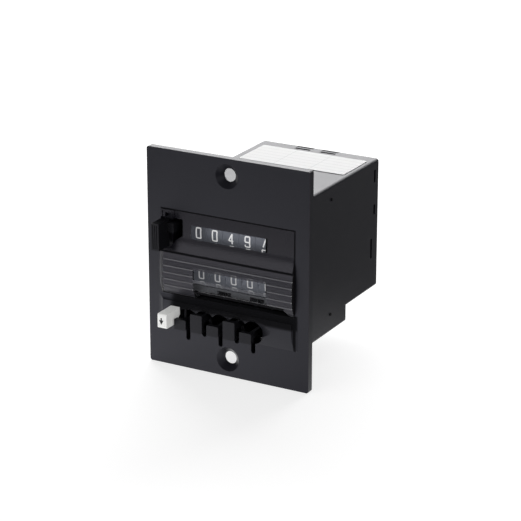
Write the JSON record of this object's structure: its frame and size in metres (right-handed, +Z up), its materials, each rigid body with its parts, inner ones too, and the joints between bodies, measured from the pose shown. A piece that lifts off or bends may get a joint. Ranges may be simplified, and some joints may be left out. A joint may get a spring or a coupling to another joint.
{
  "type": "pneumatic timer",
  "caption": "Panel-mounted pneumatic timer with rows of number wheels behind a lens and a ribbed cover, setting keys below them and air ports behind.",
  "frame": {"origin": "centre of the front plate's rear face, midway between the two panel screws", "axes": "+X to the right seen from the front, +Y back into the panel, +Z up"},
  "size_m": [0.06, 0.0738, 0.075],
  "materials": {
    "black_moulding": "fine grained moulding",
    "black_key": "satin moulding",
    "black_inside": "dull moulding",
    "dark_lens": "smoked clear moulding",
    "clear_cover": "clear ribbed moulding",
    "label_foil": "bare satin foil",
    "wheel_grey": "satin moulding",
    "white_moulding": "satin moulding",
    "grey_moulding": "satin moulding",
    "steel": "bright rolled and turned steel",
    "black_steel": "blackened sheet",
    "brass": "stamped brass",
    "aluminium": "machined aluminium",
    "seal_rubber": "moulded rubber",
    "tube_plastic": "soft extruded hose"
  },
  "bodies": {
    "chassis": {"front_plate": "black_moulding", "counter_lens": "dark_lens", "preset_cover": "clear_cover", "number_mask": "black_inside", "housing_shell": "black_moulding", "rear_cover": "black_moulding", "type_label": "label_foil", "side_frame_left": "black_steel", "side_frame_right": "black_steel", "bulkhead": "black_inside", "counter_shaft": "steel", "preset_shaft": "steel", "key_shaft": "steel", "pinion_carriers": "steel", "detent_bar": "black_inside", "detent_comb": "steel", "key_springs": "steel", "reset_spring": "steel", "anchor_pin": "steel", "drive_cylinder": "aluminium", "cylinder_cap": "aluminium", "drive_spring": "steel", "valve_body": "grey_moulding", "valve_spring": "steel", "trip_pin": "steel", "manifold": "aluminium", "air_tubes": "tube_plastic", "chassis_screws": "steel"},
    "count_wheel_1": {"count_wheel_1": "wheel_grey"},
    "count_wheel_2": {"count_wheel_2": "wheel_grey"},
    "count_wheel_3": {"count_wheel_3": "wheel_grey"},
    "count_wheel_4": {"count_wheel_4": "wheel_grey"},
    "count_wheel_5": {"count_wheel_5": "wheel_grey", "star_wheel": "brass"},
    "transfer_pinion_1": {"transfer_pinion_1": "white_moulding"},
    "transfer_pinion_2": {"transfer_pinion_2": "white_moulding"},
    "transfer_pinion_3": {"transfer_pinion_3": "white_moulding"},
    "transfer_pinion_4": {"transfer_pinion_4": "white_moulding"},
    "preset_wheel_1": {"preset_wheel_1": "wheel_grey"},
    "preset_wheel_2": {"preset_wheel_2": "wheel_grey"},
    "preset_wheel_3": {"preset_wheel_3": "wheel_grey"},
    "preset_wheel_4": {"preset_wheel_4": "wheel_grey"},
    "preset_wheel_5": {"preset_wheel_5": "wheel_grey"},
    "setting_key_1": {"setting_key_1": "black_key"},
    "setting_key_2": {"setting_key_2": "black_key"},
    "setting_key_3": {"setting_key_3": "black_key"},
    "setting_key_4": {"setting_key_4": "black_key"},
    "setting_key_5": {"setting_key_5": "black_key"},
    "release_key": {"release_key": "white_moulding"},
    "reset_key": {"reset_key": "black_key"},
    "drive_piston": {"drive_piston": "steel", "piston_seal": "seal_rubber"},
    "anchor_lever": {"anchor_lever": "brass"},
    "trip_comb": {"trip_comb": "grey_moulding"},
    "valve_plunger": {"valve_plunger": "white_moulding"}
  },
  "joints": [
    {"name": "count_spin_1", "type": "hinge", "parent": "chassis", "child": "count_wheel_1", "pos_m": [-0.015, 0.0117, 0.008], "axis": [1, 0, 0], "continuous": true},
    {"name": "count_spin_2", "type": "hinge", "parent": "chassis", "child": "count_wheel_2", "pos_m": [-0.00885, 0.0117, 0.008], "axis": [1, 0, 0], "continuous": true},
    {"name": "count_spin_3", "type": "hinge", "parent": "chassis", "child": "count_wheel_3", "pos_m": [-0.0027, 0.0117, 0.008], "axis": [1, 0, 0], "continuous": true},
    {"name": "count_spin_4", "type": "hinge", "parent": "chassis", "child": "count_wheel_4", "pos_m": [0.00345, 0.0117, 0.008], "axis": [1, 0, 0], "continuous": true},
    {"name": "count_spin_5", "type": "hinge", "parent": "chassis", "child": "count_wheel_5", "pos_m": [0.0096, 0.0117, 0.008], "axis": [1, 0, 0], "continuous": true},
    {"name": "pinion_spin_1", "type": "hinge", "parent": "chassis", "child": "transfer_pinion_1", "pos_m": [-0.01192, 0.0158, 0.008], "axis": [1, 0, 0], "continuous": true},
    {"name": "pinion_spin_2", "type": "hinge", "parent": "chassis", "child": "transfer_pinion_2", "pos_m": [-0.00577, 0.0158, 0.008], "axis": [1, 0, 0], "continuous": true},
    {"name": "pinion_spin_3", "type": "hinge", "parent": "chassis", "child": "transfer_pinion_3", "pos_m": [0.00038, 0.0158, 0.008], "axis": [1, 0, 0], "continuous": true},
    {"name": "pinion_spin_4", "type": "hinge", "parent": "chassis", "child": "transfer_pinion_4", "pos_m": [0.00653, 0.0158, 0.008], "axis": [1, 0, 0], "continuous": true},
    {"name": "preset_spin_1", "type": "hinge", "parent": "chassis", "child": "preset_wheel_1", "pos_m": [-0.015, 0.0134, -0.0069], "axis": [1, 0, 0], "continuous": true},
    {"name": "preset_spin_2", "type": "hinge", "parent": "chassis", "child": "preset_wheel_2", "pos_m": [-0.00885, 0.0134, -0.0069], "axis": [1, 0, 0], "continuous": true},
    {"name": "preset_spin_3", "type": "hinge", "parent": "chassis", "child": "preset_wheel_3", "pos_m": [-0.0027, 0.0134, -0.0069], "axis": [1, 0, 0], "continuous": true},
    {"name": "preset_spin_4", "type": "hinge", "parent": "chassis", "child": "preset_wheel_4", "pos_m": [0.00345, 0.0134, -0.0069], "axis": [1, 0, 0], "continuous": true},
    {"name": "preset_spin_5", "type": "hinge", "parent": "chassis", "child": "preset_wheel_5", "pos_m": [0.0096, 0.0134, -0.0069], "axis": [1, 0, 0], "continuous": true},
    {"name": "key_press_1", "type": "hinge", "parent": "chassis", "child": "setting_key_1", "pos_m": [-0.015, 0.0095, -0.0216], "axis": [1, 0, 0], "range_deg": [0, 16], "stiffness_Nm_per_rad": 0.04, "springref_deg": -5.73, "deforming": ["key_springs"]},
    {"name": "key_press_2", "type": "hinge", "parent": "chassis", "child": "setting_key_2", "pos_m": [-0.00885, 0.0095, -0.0216], "axis": [1, 0, 0], "range_deg": [0, 16], "stiffness_Nm_per_rad": 0.04, "springref_deg": -5.73, "deforming": ["key_springs"]},
    {"name": "key_press_3", "type": "hinge", "parent": "chassis", "child": "setting_key_3", "pos_m": [-0.0027, 0.0095, -0.0216], "axis": [1, 0, 0], "range_deg": [0, 16], "stiffness_Nm_per_rad": 0.04, "springref_deg": -5.73, "deforming": ["key_springs"]},
    {"name": "key_press_4", "type": "hinge", "parent": "chassis", "child": "setting_key_4", "pos_m": [0.00345, 0.0095, -0.0216], "axis": [1, 0, 0], "range_deg": [0, 16], "stiffness_Nm_per_rad": 0.04, "springref_deg": -5.73, "deforming": ["key_springs"]},
    {"name": "key_press_5", "type": "hinge", "parent": "chassis", "child": "setting_key_5", "pos_m": [0.0096, 0.0095, -0.0216], "axis": [1, 0, 0], "range_deg": [0, 16], "stiffness_Nm_per_rad": 0.04, "springref_deg": -5.73, "deforming": ["key_springs"]},
    {"name": "release_press", "type": "hinge", "parent": "chassis", "child": "release_key", "pos_m": [-0.0201, 0.0095, -0.0216], "axis": [1, 0, 0], "range_deg": [0, 10], "stiffness_Nm_per_rad": 0.04, "springref_deg": -5.73, "deforming": ["key_springs"]},
    {"name": "reset_press", "type": "slide", "parent": "chassis", "child": "reset_key", "axis": [0, 1, 0], "range_m": [0, 0.0014], "stiffness_N_per_m": 500, "springref_m": -0.002, "deforming": ["reset_spring"]},
    {"name": "drive_stroke", "type": "slide", "parent": "chassis", "child": "drive_piston", "axis": [0, -1, 0], "range_m": [0, 0.0012], "stiffness_N_per_m": 800, "springref_m": -0.001, "deforming": ["drive_spring"]},
    {"name": "anchor_rock", "type": "hinge", "parent": "chassis", "child": "anchor_lever", "pos_m": [0.0135, 0.0202, 0.008], "axis": [1, 0, 0], "range_deg": [0, 8.1]},
    {"name": "trip_rock", "type": "hinge", "parent": "chassis", "child": "trip_comb", "pos_m": [-0.0027, 0.023, -0.0205], "axis": [-1, 0, 0], "range_deg": [0, 8.1]},
    {"name": "valve_stroke", "type": "slide", "parent": "chassis", "child": "valve_plunger", "axis": [0, 1, 0], "range_m": [0, 0.0012], "stiffness_N_per_m": 300, "springref_m": -0.001, "deforming": ["valve_spring"]}
  ],
  "couplings": [
    {"joint": "anchor_rock", "follows": "drive_stroke", "rad_per_m": 117.6},
    {"joint": "trip_rock", "follows": "valve_stroke", "rad_per_m": 117.6}
  ]
}
